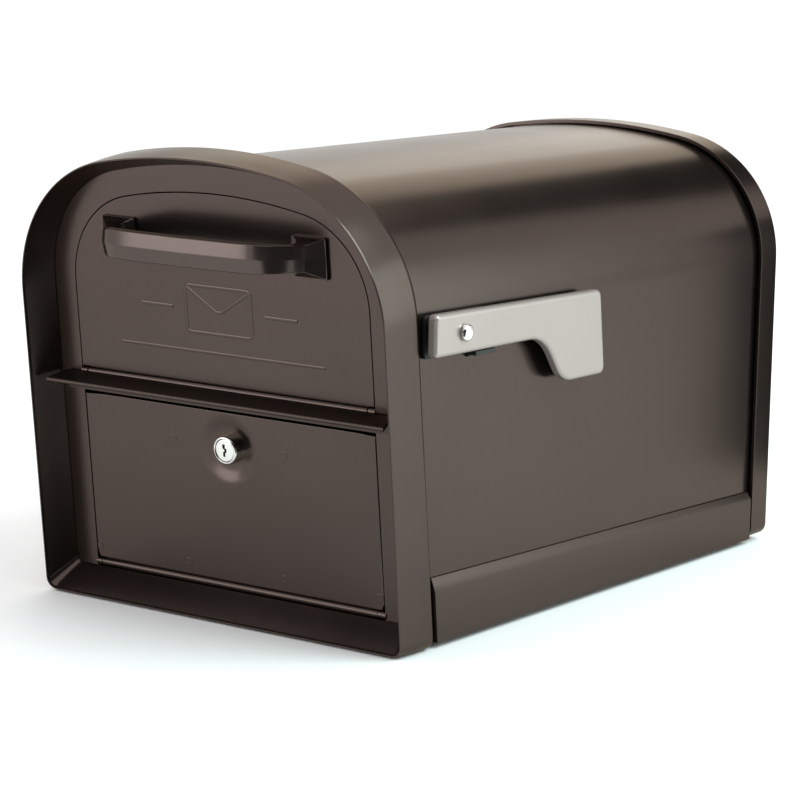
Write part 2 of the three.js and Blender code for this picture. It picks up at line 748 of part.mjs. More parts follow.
add('hopper_door', makeHopperDoor(), bronze);
add('hopper_hinge_leaf', hingeLeaf(HOPPER_HINGE_Z, HINGE_HALF, 15), bronze);
add('hopper_hinge_rod', barAlongX(ROD_RADIUS, [-ROD_HALF, ROD_HALF], HINGE_DEPTH, HOPPER_HINGE_Z), zinc);
add('hopper_tray', makeTray(), galvanised);
add('handle', makeHandle(), castBronze);

add('lower_door', makeLowerDoor(), bronze);
add('lower_hinge_leaf', cut(hingeLeaf(LOWER_HINGE_Z, LEAF_OUTER_HALF, 19), ...studHoles()), bronze);
add('lower_hinge_rod', barAlongX(ROD_RADIUS, [-ROD_HALF, ROD_HALF], HINGE_DEPTH, LOWER_HINGE_Z), zinc);
add('lock_plate', makeLockPlate(), galvanised);

for (const [name, side] of LEFT_RIGHT) {
  add(`hopper_cheek_${name}`, makeCheek(side), galvanised);
  add(`handle_screw_${name}`,
    onFace(panScrew(1.6, 10, 4, 2.4).translate(0, SHEET + CLEAR, 0), side * HANDLE_FOOT_X, HANDLE_Z), zinc);
  add(`collar_screw_${name}`,
    onFace(panScrew(1.3, 8, 3.2, 2).translate(0, 2.4, 0), side * COLLAR_SCREW_X, COLLAR_SCREW_Z), zinc);
  add(`hopper_bumper_${name}`,
    onFace(cylinderY(4, 2, 3.9, 12), side * HOPPER_BUMPER_X, HOPPER_BUMPER_Z), rubber);
  add(`lower_bumper_${name}`,
    onFace(cylinderY(3.4, 2, 3.9, 12), side * LOWER_BUMPER_X, LOWER_BUMPER_Z), rubber);
}

HINGE_STUDS.forEach((x, i) => {
  add(`hinge_stud_${i + 1}`, onFace(makeStud(), x, HINGE_STUD_Z), bronze);
});
LOCK_STUDS.forEach((x, i) => {
  add(`lock_stud_${i + 1}`, onFace(makeStud(), x, LOCK_STUD_Z), bronze);
});

add('lock_housing', onFace(makeLockHousing(), 0, LOCK_Z), chrome);
add('lock_plug', onFace(makeLockPlug(), 0, LOCK_Z), chrome);
add('lock_nut', onFace(cut(cylinderY(12.6, 5.9, 9.9, 6), cylinderY(8.3, 5, 11, 24)), 0, LOCK_Z), zinc);
add('lock_cam', onFace(makeCam(), 0, LOCK_Z), zinc);
add('cam_screw', onFace(panScrew(1.6, 9, 4, 2.4).translate(0, 18.9, 0), 0, LOCK_Z), zinc);

REAR_SCREWS.forEach(([x, z], i) => {
  add(`rear_screw_${i + 1}`, panScrew(1.9, 8, 4, 2.4).translate(x, SHELL_REAR + SHEET + 0.9, z), zinc);
});

add('flag', makeFlag(), silverPaint);
add('flag_mount', makeFlagMount(), blackPlastic);
add('flag_rivet', makeFlagRivet(), chrome);
const washer = turned([
  [FLAG_BORE, BODY.half - 2.8],
  [7, BODY.half - 2.8],
  [7, BODY.half - 1.8],
  [FLAG_BORE, BODY.half - 1.8]
], 20);
add('flag_washer', aboutFlagPivot(washer), zinc);
const nut = cut(cylinderY(5.8, BODY.half - 6.6, BODY.half - 3.1, 6), cylinderY(FLAG_BORE, 0, 200, 20));
add('flag_nut', aboutFlagPivot(nut), zinc);

parcelBox.position.set(0, -BASE_CENTRE_Y, -BASE_Z);

export default parcelBox;
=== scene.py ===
"""Looks of a locking parcel drop box: smooth painted sheet metal, castings and plated hardware."""
import json
import math
from collections import namedtuple

import bmesh
import bpy
import numpy as np
from mathutils import Matrix, Vector


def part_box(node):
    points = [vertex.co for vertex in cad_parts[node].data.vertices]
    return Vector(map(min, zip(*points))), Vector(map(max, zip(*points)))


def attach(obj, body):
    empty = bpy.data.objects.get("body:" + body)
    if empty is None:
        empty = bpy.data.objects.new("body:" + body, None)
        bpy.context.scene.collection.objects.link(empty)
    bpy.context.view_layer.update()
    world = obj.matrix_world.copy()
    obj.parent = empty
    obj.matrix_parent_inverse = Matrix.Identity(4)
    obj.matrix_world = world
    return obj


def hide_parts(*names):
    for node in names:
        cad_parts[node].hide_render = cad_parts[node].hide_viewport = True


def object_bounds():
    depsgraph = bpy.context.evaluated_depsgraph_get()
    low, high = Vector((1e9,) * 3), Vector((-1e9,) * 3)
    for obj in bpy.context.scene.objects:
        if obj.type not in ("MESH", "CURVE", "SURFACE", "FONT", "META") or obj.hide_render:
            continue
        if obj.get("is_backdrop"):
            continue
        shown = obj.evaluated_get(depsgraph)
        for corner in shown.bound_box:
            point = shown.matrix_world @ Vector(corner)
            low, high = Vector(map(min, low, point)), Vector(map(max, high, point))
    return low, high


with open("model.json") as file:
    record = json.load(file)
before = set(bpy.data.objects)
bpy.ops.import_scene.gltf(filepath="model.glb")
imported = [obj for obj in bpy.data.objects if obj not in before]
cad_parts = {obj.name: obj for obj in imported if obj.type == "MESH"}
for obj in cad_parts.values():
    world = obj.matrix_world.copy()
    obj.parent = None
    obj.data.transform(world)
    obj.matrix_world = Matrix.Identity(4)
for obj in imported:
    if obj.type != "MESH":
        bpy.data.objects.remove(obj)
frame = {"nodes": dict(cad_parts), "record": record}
cad_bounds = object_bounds()

# ---------- driving dimensions, in millimetres, drawn from the front foot of the collar ----------
MM = 0.001
collar_low, collar_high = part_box("front_collar")
HALF = collar_high.x / MM
HEIGHT = 307  # of the rim of the collar, above its front foot
RAKE = 0.116  # how far the front leans forward for each millimetre of height
TILT = math.atan(RAKE)
RIM_INSET = 1.2  # how far below the top of the collar its foremost edge stands
FOOT_Y = collar_low.y / MM + RAKE * (HEIGHT - RIM_INSET)
FOOT_Z = collar_low.z / MM
BASE_Z = -FOOT_Z
BASE_FRONT = 40.8
REAR_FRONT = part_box("rear_bezel")[0].y / MM - FOOT_Y
REAR_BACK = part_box("rear_bezel")[1].y / MM - FOOT_Y
SHELL_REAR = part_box("body_shell")[1].y / MM - FOOT_Y
BASE_HALF = 148.5
MOUNT_HOLE_X = 60
MOUNT_HOLE_Y = 120
MOUNT_HOLE_RADIUS = 4
SHEET = 1.6  # painted outer sheet

DOOR_DEPTH = 23.3  # from the rim of the collar back to the face of the doors
DOOR_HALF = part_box("lower_door")[1].x / MM
SEAM = 0.55  # gap round each door
HINGE_DEPTH = 24.9
HINGE_RADIUS = 2.6
HINGE_HALF = 115.6
EAR_INNER = 116.4
EAR_OUTER = 122
HOPPER_HINGE_Z = 154
LOWER_HINGE_Z = 20.6
LOWER_DOOR_BOTTOM = 23.8
LOWER_DOOR_TOP = 139.2
LOCK_Z = 114.4
HANDLE_Z = 248.5
HANDLE_FOOT_X = 78
LEAF_OUTER_HALF = 121.2  # the lower leaf widens above its barrel to reach the outer studs
HOPPER_BUMPER = (60, 274)
LOWER_BUMPER = (90, 135.4)
HINGE_STUDS = (-117.5, -40, 40, 117.5)
HINGE_STUD_Z = 32
LOCK_STUDS = (-46, 46)
LOCK_STUD_Z = 116
REAR_SCREWS = ((-122, 30), (122, 30), (-122, 150), (122, 150), (-70, 270), (70, 270))
SCREW_HEAD = 4
SCREW_RISE = 2.4

# the tray behind the hopper door, measured from its hinge line along the door and square to it
TRAY_START = (1.8, 12)
TRAY_SLOPE = math.radians(26)
TRAY_LENGTH = 150
CHEEK_REACH = 74

FLAG_PIVOT = (49, 203.4)
FLAG_INNER_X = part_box("flag")[0].x / MM
FLAG_OUTER_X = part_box("flag")[1].x / MM

Arch = namedtuple("Arch", "half bottom top shoulder rise corner")
COLLAR = Arch(HALF, 0, HEIGHT, 94, 99.2, 9)
FUNNEL = Arch(139.3, 17.6, HEIGHT - 7, 75, 82, 4)
BODY = Arch(144.8, 8.6, 300.6, 87, 92, 0)
REAR = Arch(149, BASE_Z, 304, 88, 93, 8)
HOPPER_OPENING = Arch(121.6, 150.8, 282.6, 60.6, 66.6, 0)


# ---------- outlines ----------
def arc(centre_x, centre_z, radius, start, end, steps):
    angles = np.linspace(start, end, steps + 1)
    return [(centre_x + radius * math.cos(a), centre_z + radius * math.sin(a)) for a in angles]


def arch_outline(arch, foot_steps=5, shoulder_steps=28, crown_steps=10):
    """Right foot, up the side, over the shoulder and crown, and down to the left foot."""
    spring = arch.top - arch.rise
    reach = arch.half - arch.shoulder
    crown = (reach**2 + arch.rise**2 - arch.shoulder**2) / (2 * (arch.rise - arch.shoulder))
    meet = math.atan2(spring - arch.top + crown, reach)
    foot = [(arch.half, arch.bottom)]
    if arch.corner:
        centre = (arch.half - arch.corner, arch.bottom + arch.corner)
        foot = arc(*centre, arch.corner, -math.pi / 2, 0, foot_steps)
    right = foot + arc(reach, spring, arch.shoulder, 0, meet, shoulder_steps)
    right += arc(0, arch.top - crown, crown, meet, math.pi / 2, crown_steps)[1:]
    return right + [(-x, z) for x, z in reversed(right[:-1])]


def inset(arch, by):
    corner = max(arch.corner - by, 0.6) if arch.corner else 0
    return Arch(
        arch.half - by, arch.bottom + by, arch.top - by, arch.shoulder - by, arch.rise - by, corner)


def round_corners(points, radii, steps=5, closed=True):
    """Replaces each corner of a path by a smooth bend that starts at its radius from the corner."""
    points = [np.array(p, float) for p in points]
    smooth = []
    for i, (here, radius) in enumerate(zip(points, radii)):
        at_end = not closed and i in (0, len(points) - 1)
        if at_end or not radius:
            smooth.append(here)
            continue
        before = points[i - 1] - here
        after = points[(i + 1) % len(points)] - here
        start = here + before * min(radius / np.linalg.norm(before), 0.48)
        end = here + after * min(radius / np.linalg.norm(after), 0.48)
        for t in np.linspace(0, 1, steps + 1):
            smooth.append((1 - t) ** 2 * start + 2 * t * (1 - t) * here + t**2 * end)
    return smooth


# ---------- meshes ----------
def place(point):
    """A point of the design, in millimetres, as a point of the frame, in metres."""
    x, y, z = point
    return Vector((x, y + FOOT_Y, z + FOOT_Z)) * MM


def face_matrix(x, z, depth=DOOR_DEPTH):
    """From a piece drawn upright, with local Y into the box, to its place on the raked doors."""
    origin = Vector((x, depth - RAKE * z, z))
    return Matrix.Translation(origin) @ Matrix.Rotation(TILT, 4, "X")


def ring_at(outline, depth, rake):
    return [(x, depth - rake * z, z) for x, z in outline]


def add_grid(mesh, rings, wrap_rings=False, wrap_points=True, matrix=None):
    """Skins rings of points into a bmesh; open ends are closed with flat faces."""
    place_local = (lambda p: matrix @ Vector(p)) if matrix else Vector
    rows = [[mesh.verts.new(place_local(p)) for p in ring] for ring in rings]
    ring_pairs = list(zip(rows, rows[1:])) + ([(rows[-1], rows[0])] if wrap_rings else [])
    count = len(rows[0])
    steps = range(count if wrap_points else count - 1)
    for here, there in ring_pairs:
        for j in steps:
            k = (j + 1) % count
            mesh.faces.new((here[j], here[k], there[k], there[j]))
    if not wrap_rings:
        mesh.faces.new(rows[0])
        mesh.faces.new(rows[-1])
    if not wrap_points:
        mesh.faces.new([row[0] for row in rows])
        mesh.faces.new([row[-1] for row in rows])


def add_box(mesh, x, y, z, matrix=None):
    ring = [(x[0], z[0]), (x[1], z[0]), (x[1], z[1]), (x[0], z[1])]
    add_grid(mesh, [[(u, depth, v) for u, v in ring] for depth in y], matrix=matrix)


def add_raked_box(mesh, x, depth, z):
    ring = [(x[0], z[0]), (x[1], z[0]), (x[1], z[1]), (x[0], z[1])]
    add_grid(mesh, [ring_at(ring, d, RAKE) for d in depth])


def add_turned(mesh, profile, sides=48, matrix=None, along="Y", hollow=False):
    """Turns a profile of radius and place along a local axis; a hollow one closes on itself."""
    rings = []
    for radius, at in profile:
        ring = []
        for i in range(sides):
            angle = 2 * math.pi * i / sides
            u, v = radius * math.cos(angle), radius * math.sin(angle)
            ring.append((u, at, v) if along == "Y" else (at, u, v))
        rings.append(ring)
    add_grid(mesh, rings, wrap_rings=hollow, matrix=matrix)


def make_object(name, mesh, sharp_angle=32):
    """Turns a bmesh in millimetres into an object in the frame, smooth but for its sharp edges."""
    bmesh.ops.remove_doubles(mesh, verts=mesh.verts, dist=1e-4)
    bmesh.ops.recalc_face_normals(mesh, faces=mesh.faces)
    for vertex in mesh.verts:
        vertex.co = place(vertex.co)
    for face in mesh.faces:
        face.smooth = True
    data = bpy.data.meshes.new(name)
    mesh.to_mesh(data)
    mesh.free()
    data.set_sharp_from_angle(angle=math.radians(sharp_angle))
    made = bpy.data.objects.new(name, data)
    bpy.context.scene.collection.objects.link(made)
    return made


def bevel(made, width, segments=3, angle=30):
    modifier = made.modifiers.new("bevel", "BEVEL")
    modifier.width = width * MM
    modifier.segments = segments
    modifier.limit_method = "ANGLE"
    modifier.angle_limit = math.radians(angle)
    modifier.harden_normals = True
    return made


def cut(made, *tools):
    """Cuts the tools out of an object and removes them."""
    for tool in tools:
        modifier = made.modifiers.new("cut", "BOOLEAN")
        modifier.operation = "DIFFERENCE"
        modifier.solver = "EXACT"
        modifier.object = tool
    bpy.context.view_layer.update()
    evaluated = made.evaluated_get(bpy.context.evaluated_depsgraph_get())
    result = bpy.data.meshes.new_from_object(evaluated)
    made.modifiers.clear()
    made.data = result
    for tool in tools:
        bpy.data.objects.remove(tool)
    result.shade_smooth()
    result.set_sharp_from_angle(angle=math.radians(32))
    return made


def dress(made, body, material, slot, *nodes):
    """Paints a piece, lets it ride on its body and hides the CAD nodes that it stands for."""
    made.data.materials.clear()
    made.data.materials.append(material)
    made.modifiers.new("even_shading", "WEIGHTED_NORMAL").keep_sharp = True
    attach(made, body)
    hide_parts(*nodes)
    return made


# ---------- materials ----------
def new_material(name):
    material = bpy.data.materials.new(name)
    material.use_nodes = True
    return material, material.node_tree.nodes, material.node_tree.links


def noise(nodes, links, scale, detail=2.0):
    place_node = nodes.new("ShaderNodeTexCoord")
    texture = nodes.new("ShaderNodeTexNoise")
    texture.inputs["Scale"].default_value = scale
    texture.inputs["Detail"].default_value = detail
    links.new(place_node.outputs["Object"], texture.inputs["Vector"])
    return texture.outputs["Fac"]


def spread(nodes, links, value, low, high):
    """Maps the middle of a noise to a range of numbers."""
    ranged = nodes.new("ShaderNodeMapRange")
    ranged.interpolation_type = "SMOOTHSTEP"
    ranged.inputs["From Min"].default_value = 0.3
    ranged.inputs["From Max"].default_value = 0.7
    ranged.inputs["To Min"].default_value = low
    ranged.inputs["To Max"].default_value = high
    links.new(value, ranged.inputs["Value"])
    return ranged.outputs["Result"]


def two_tones(nodes, links, value, dark, light):
    ramp = nodes.new("ShaderNodeValToRGB")
    ramp.color_ramp.interpolation = "EASE"
    ramp.color_ramp.elements[0].position = 0.3
    ramp.color_ramp.elements[1].position = 0.7
    ramp.color_ramp.elements[0].color = (*dark, 1)
    ramp.color_ramp.elements[1].color = (*light, 1)
    links.new(value, ramp.inputs["Fac"])
    return ramp.outputs["Color"]


def bumps(nodes, links, height, distance, strength):
    bump = nodes.new("ShaderNodeBump")
    bump.inputs["Distance"].default_value = distance
    bump.inputs["Strength"].default_value = strength
    links.new(height, bump.inputs["Height"])
    return bump.outputs["Normal"]


EDGE_TINT = (0.62, 0.585, 0.535)  # of metal seen at a low angle


def surface(name, colour, contrast, metallic, roughness, grain, coat=0.0):
    """Drifting colour and gloss over a fine grain, given as its scale per metre and height in metres."""
    material, nodes, links = new_material(name)
    shader = nodes["Principled BSDF"]
    shader.inputs["Metallic"].default_value = metallic
    shader.inputs["Coat Weight"].default_value = coat
    shader.inputs["Coat Roughness"].default_value = 0.2
    if metallic > 0.5:
        shader.inputs["Specular Tint"].default_value = (*EDGE_TINT, 1)
    dark = [c * (1 - contrast) for c in colour]
    light = [c * (1 + contrast) for c in colour]
    drift = noise(nodes, links, 9, 3)
    fine = noise(nodes, links, grain[0], 2)
    links.new(two_tones(nodes, links, drift, dark, light), shader.inputs["Base Color"])
    links.new(spread(nodes, links, drift, roughness - 0.01, roughness + 0.02), shader.inputs["Roughness"])
    links.new(bumps(nodes, links, fine, grain[1], 0.35), shader.inputs["Normal"])
    return material


def spangled(name, colour):
    """Galvanised sheet: crystals that differ a little in brightness and gloss."""
    material, nodes, links = new_material(name)
    shader = nodes["Principled BSDF"]
    shader.inputs["Metallic"].default_value = 0.9
    place_node = nodes.new("ShaderNodeTexCoord")
    crystals = nodes.new("ShaderNodeTexVoronoi")
    crystals.inputs["Scale"].default_value = 140
    links.new(place_node.outputs["Object"], crystals.inputs["Vector"])
    tone = nodes.new("ShaderNodeSeparateColor")
    links.new(crystals.outputs["Color"], tone.inputs["Color"])
    dark = [c * 0.82 for c in colour]
    links.new(two_tones(nodes, links, tone.outputs["Red"], dark, colour), shader.inputs["Base Color"])
    links.new(spread(nodes, links, tone.outputs["Green"], 0.34, 0.5), shader.inputs["Roughness"])
    fine = noise(nodes, links, 900)
    links.new(bumps(nodes, links, fine, 0.00003, 0.3), shader.inputs["Normal"])
    return material


BRONZE = (0.076, 0.057, 0.051)
# A darker, rougher copy of the bronze powder coat: painted shade for the top of the ledge under the hopper
# door
SHADED_BRONZE = [c * 0.8 for c in BRONZE]
CAST_BRONZE = [c * 1.05 for c in BRONZE]
powder = surface(
    "bronze_powder_coat", BRONZE, contrast=0.03, metallic=0.95, roughness=0.22, grain=(1100, 0.00004))
powder_painted_shade = surface(
    "bronze_powder_coat_painted_shade", SHADED_BRONZE, contrast=0.05, metallic=0.9, roughness=0.34,
    grain=(1100, 0.00004))
cast_paint = surface(
    "bronze_cast_paint", CAST_BRONZE, contrast=0.04, metallic=0.9, roughness=0.22,
    grain=(700, 0.00003), coat=0.2)
chrome = surface(
    "chrome", (0.75, 0.74, 0.71), contrast=0.02, metallic=1, roughness=0.09, grain=(1500, 0.000004))
zinc = surface(
    "zinc", (0.5, 0.48, 0.43), contrast=0.08, metallic=1, roughness=0.33, grain=(1800, 0.00002))
silver = surface(
    "silver_paint", (0.345, 0.3, 0.28), contrast=0.02, metallic=0.6, roughness=0.3,
    grain=(1600, 0.00002), coat=0.1)
plastic = surface(
    "black_plastic", (0.006, 0.006, 0.006), contrast=0.1, metallic=0, roughness=0.6, grain=(1400, 0.00004))
rubber = surface(
    "rubber", (0.02, 0.02, 0.02), contrast=0.15, metallic=0, roughness=0.8, grain=(1500, 0.00005))
# Near-black paint for a sheet in the keyway: painted shade for the depth of the keyway
keyway_shade_paint = surface(
    "keyway_painted_shade", (0.01, 0.01, 0.01), contrast=0.1, metallic=0.2, roughness=0.6, grain=(1500, 0.00002))
galvanised = spangled("galvanised_sheet", (0.45, 0.46, 0.46))
OF_SLOT = {
    "bronze_paint": powder,
    # the dark_bronze_paint slot gets the painted-shade copy of the powder coat
    "dark_bronze_paint": powder_painted_shade,
    "cast_bronze": cast_paint,
    "chrome": chrome,
    "zinc": zinc,
    "galvanised": galvanised,
    "silver_paint": silver,
    "black_plastic": plastic,
    "rubber": rubber,
}


# ---------- cabinet ----------
def make_shell():
    mesh = bmesh.new()
    outer = arch_outline(BODY)
    inner = arch_outline(inset(BODY, SHEET - 0.1)._replace(bottom=BODY.bottom))
    front = DOOR_DEPTH + 2.9
    rings = [
        ring_at(outer, front, RAKE), ring_at(outer, SHELL_REAR, 0),
        ring_at(inner, SHELL_REAR, 0), ring_at(inner, front, RAKE),
    ]
    add_grid(mesh, rings, wrap_rings=True, wrap_points=False)
    shell = make_object("shell_skin", mesh)
    dress(shell, "cabinet", powder, "bronze_paint", "body_shell")


def make_base():
    outer, inner = BASE_HALF, BODY.half + 0.5
    floor_top = BASE_Z + SHEET

    def section(low, high):
        half = [(outer, BASE_Z), (outer, low), (inner + 0.4, high), (inner, high), (inner, floor_top)]
        return half + [(-x, z) for x, z in reversed(half)]

    mesh = bmesh.new()
    rear = REAR_FRONT - 1
    front_ring = ring_at(section(37.4, 46.5), BASE_FRONT, RAKE)
    add_grid(mesh, [front_ring, ring_at(section(33.6, 39), rear, 0)])
    base = make_object("base_skirt", mesh)
    tools = []
    for x in (-MOUNT_HOLE_X, MOUNT_HOLE_X):
        for y in (-MOUNT_HOLE_Y, MOUNT_HOLE_Y):
            hole = bmesh.new()
            upright = Matrix.Translation((x, -FOOT_Y + y, BASE_Z)) @ Matrix.Rotation(math.pi / 2, 4, "X")
            add_turned(hole, [(MOUNT_HOLE_RADIUS, -4), (MOUNT_HOLE_RADIUS, 4)], 32, upright)
            tools.append(make_object("hole", hole))
    cut(base, *tools)
    bevel(base, 0.5)
    dress(base, "cabinet", powder, "bronze_paint", "base_pan")


def ring_channel(layers, rake):
    """A closed channel round an arch; each layer is an arch, a depth and the softness of that corner."""
    corners = [(*arch, depth) for arch, depth, _ in layers]
    for corner in round_corners(corners, [soft for _, _, soft in layers]):
        yield ring_at(arch_outline(Arch(*corner[:-1])), corner[-1], rake)


def make_collar():
    """The collar runs back square to its raked rim, so its crown climbs towards the rear."""
    mesh = bmesh.new()
    wall = 2.6

    def climbed(arch, depth, soft):
        return arch._replace(top=arch.top + RAKE * depth), depth, soft

    layers = [
        climbed(inset(COLLAR, 4.3), 40, 0.4),
        climbed(COLLAR, 33.5, 1.4),
        climbed(COLLAR, 17, 8),
        (inset(COLLAR, 0.8), 1.2, 0.5),
        (inset(COLLAR, 1.3), 0.2, 0.4),
        (inset(COLLAR, 1.9), 0.3, 0.4),
        (inset(COLLAR, 2.4), 2, 0.6),
        (FUNNEL, DOOR_DEPTH - 0.3, 0.6),
        (inset(FUNNEL, -2.2), DOOR_DEPTH - 0.3, 0),
        climbed(inset(COLLAR, wall), 6.5, 0),
        climbed(inset(COLLAR, wall), 34, 0),
        climbed(inset(COLLAR, 4.6), 40, 0.4),
    ]
    add_grid(mesh, list(ring_channel(layers, RAKE)), wrap_rings=True)
    collar = make_object("collar_skin", mesh, 40)
    dress(collar, "cabinet", powder, "bronze_paint", "front_collar")


def add_arch_plate(mesh, arch, front, back, edge=0.0):
    """A flat plate with an arched outline; a radius given as its edge rounds it on the front."""
    turns = np.linspace(0, math.pi / 2, 5) if edge else [math.pi / 2]
    layers = [(inset(arch, edge * (1 - math.sin(a))), front + edge * (1 - math.cos(a))) for a in turns]
    layers.append((arch, back))
    add_grid(mesh, [ring_at(arch_outline(a), depth, RAKE) for a, depth in layers])


def make_frame():
    back = DOOR_DEPTH + 2
    plate_mesh, opening, doorway = bmesh.new(), bmesh.new(), bmesh.new()
    add_arch_plate(plate_mesh, inset(COLLAR, 3.4), DOOR_DEPTH, back)
    add_arch_plate(opening, HOPPER_OPENING, DOOR_DEPTH - 2, back + 2)
    half = DOOR_HALF + SEAM
    add_raked_box(doorway, (-half, half), (20, 30), (17.4, LOWER_DOOR_TOP + 1.9))
    plate = make_object("frame_skin", plate_mesh)
    cut(plate, make_object("opening", opening), make_object("doorway", doorway))
    bevel(plate, 0.5)
    dress(plate, "cabinet", powder, "bronze_paint", "door_frame")

    skirt = inset(BODY, 1.9)._replace(bottom=BASE_Z + 2, corner=1.2)
    inner = inset(skirt, 1.4)
    mesh = bmesh.new()
    sides = [(skirt, back - 0.5), (skirt, 48), (inner, 48), (inner, back - 0.5)]
    add_grid(mesh, [ring_at(arch_outline(a), depth, RAKE) for a, depth in sides], wrap_rings=True)
    for side in (-1, 1):
        for z in (HOPPER_HINGE_Z, LOWER_HINGE_Z):
            ends = sorted((side * EAR_INNER, side * EAR_OUTER))
            add_barrel(mesh, ends, z)
        for x, z in (HOPPER_BUMPER, LOWER_BUMPER):
            add_raked_box(mesh, (side * x - 6, side * x + 6), (27.6, 29), (z - 4, z + 9))
            add_raked_box(mesh, (side * x - 6, side * x + 6), (DOOR_DEPTH + 1.8, 28), (z + 5, z + 9))
    skirt_piece = make_object("frame_skirt", mesh)
    dress(skirt_piece, "cabinet", powder, "bronze_paint", "door_frame")


def add_barrel(mesh, ends, z):
    """A round bar along X on a hinge line, with small chamfers."""
    chamfer = 0.3
    low, high = ends
    narrow = HINGE_RADIUS - chamfer
    profile = [(narrow, low), (HINGE_RADIUS, low + chamfer), (HINGE_RADIUS, high - chamfer), (narrow, high)]
    at = Matrix.Translation((0, HINGE_DEPTH - RAKE * z, z))
    add_turned(mesh, profile, 32, at, "X")


def make_ledge():
    corners = [
        (23, 141.2), (23, 150.6), (21.8, 153.4), (20.4, 153.2), (4.4, 149.5),
        (3.5, 147.9), (4.6, 146.4), (21.2, 150.6), (21.2, 141.2),
    ]
    section = round_corners(corners, [0, 1, 0.6, 0.6, 1.3, 1.2, 1.3, 1.5, 0], 4)

    def end(rear_x, splay):
        return [(rear_x + splay * (DOOR_DEPTH - depth), depth - RAKE * z, z) for depth, z in section]

    mesh = bmesh.new()
    add_grid(mesh, [end(-132.5, -0.23), end(134.3, 0.36)])
    # The ledge wears the darker copy of the powder coat, painted shade on its top.
    dress(make_object("ledge_skin", mesh), "cabinet", powder_painted_shade, "dark_bronze_paint", "divider_ledge")


def make_rear():
    mesh = bmesh.new()
    layers = [
        (REAR, REAR_FRONT, 0.5), (REAR, REAR_BACK, 3.2), (inset(REAR, 10.4), REAR_BACK, 1.4),
        (inset(REAR, 11), 458.2, 0), (inset(REAR, 2.6), 458.2, 0), (inset(REAR, 2.6), REAR_FRONT, 0.4),
    ]
    add_grid(mesh, list(ring_channel(layers, 0)), wrap_rings=True)
    dress(make_object("rear_band", mesh, 40), "cabinet", powder, "bronze_paint", "rear_bezel")

    front = SHELL_REAR + 0.6
    back = front + SHEET
    bead = inset(REAR, 34)
    mesh = bmesh.new()
    rise = 1.2
    rings = [ring_at(arch_outline(inset(REAR, 3.2)), depth, 0) for depth in (front, back)]
    bead_width = 6.5
    rings.append(ring_at(arch_outline(bead), back, 0))
    for share in np.linspace(0.08, 0.92, 9):
        depth = back + rise * math.sin(math.pi * share)
        rings.append(ring_at(arch_outline(inset(bead, bead_width * share)), depth, 0))
    rings.append(ring_at(arch_outline(inset(bead, bead_width)), back, 0))
    add_grid(mesh, rings)
    dress(make_object("rear_plate", mesh), "cabinet", powder, "bronze_paint", "rear_panel")


# ---------- doors ----------
def add_ridge(mesh, path, width, height, closed, matrix):
    """A raised bead with a half-round section along a path of X and Z."""
    points = [np.array(p, float) for p in path]
    count = len(points)
    rings = []
    for i, here in enumerate(points):
        before = points[i - 1] if closed or i else here
        after = points[(i + 1) % count] if closed or i < count - 1 else here
        along = [v / np.linalg.norm(v) for v in (here - before, after - here) if np.linalg.norm(v) > 0]
        tangent = sum(along) / np.linalg.norm(sum(along))
        stretch = 1 / max(float(np.dot(tangent, along[0])), 0.5)
        across = np.array([-tangent[1], tangent[0]]) * stretch
        ring = []
        for angle in np.linspace(0, math.pi, 7):
            x, z = here + across * (width / 2 * math.cos(angle))
            ring.append((x, 0.08 - height * math.sin(angle), z))
        rings.append(ring)
    add_grid(mesh, rings, wrap_rings=closed, wrap_points=True, matrix=matrix)


def make_hopper_door():
    """An arched sheet with a plain envelope and three rules raised on its middle."""
    arch = inset(HOPPER_OPENING, SEAM)._replace(bottom=HOPPER_HINGE_Z + 3.2)
    mesh = bmesh.new()
    add_arch_plate(mesh, arch, DOOR_DEPTH, DOOR_DEPTH + SHEET, 0.35)
    on_face = face_matrix(0, 206)
    bead, rise = 2.6, 0.5
    half, high, low = 27, 15.5, -15.5
    corners = [(-half, low), (half, low), (half, high), (-half, high)]
    add_ridge(mesh, round_corners(corners, [4] * 4, 5), bead, rise, True, on_face)
    fold = [(-half + 1.6, high - 1.6), (0, -2), (half - 1.6, high - 1.6)]
    flap = round_corners(fold, [0, 4, 0], 6, closed=False)
    add_ridge(mesh, flap, bead, rise, False, on_face)
    for side in (-1, 1):
        add_ridge(mesh, [(side * 38, 0), (side * 64, 0)], bead, rise, False, on_face)
    add_ridge(mesh, [(-84, -28.3), (84, -28.3)], bead - 0.4, rise - 0.1, False, on_face)
    dress(make_object("hopper_skin", mesh), "hopper", powder, "bronze_paint", "hopper_door")


def make_leaf(name, node, body, z, wide_half, height):
    mesh = bmesh.new()
    add_barrel(mesh, (-HINGE_HALF, HINGE_HALF), z)
    near, far = HINGE_DEPTH + 0.3, HINGE_DEPTH + 1.5
    add_raked_box(mesh, (-HINGE_HALF, HINGE_HALF), (near, far), (z, z + 6))
    add_raked_box(mesh, (-wide_half, wide_half), (near, far), (z + 4.6, z + height))
    dress(make_object(name, mesh), body, powder, "bronze_paint", node)


def polar_ring(radius_of, depth, count, matrix):
    ring = []
    for i in range(count):
        angle = 2 * math.pi * i / count
        radius = radius_of(angle)
        ring.append(matrix @ Vector((radius * math.cos(angle), depth, radius * math.sin(angle))))
    return ring


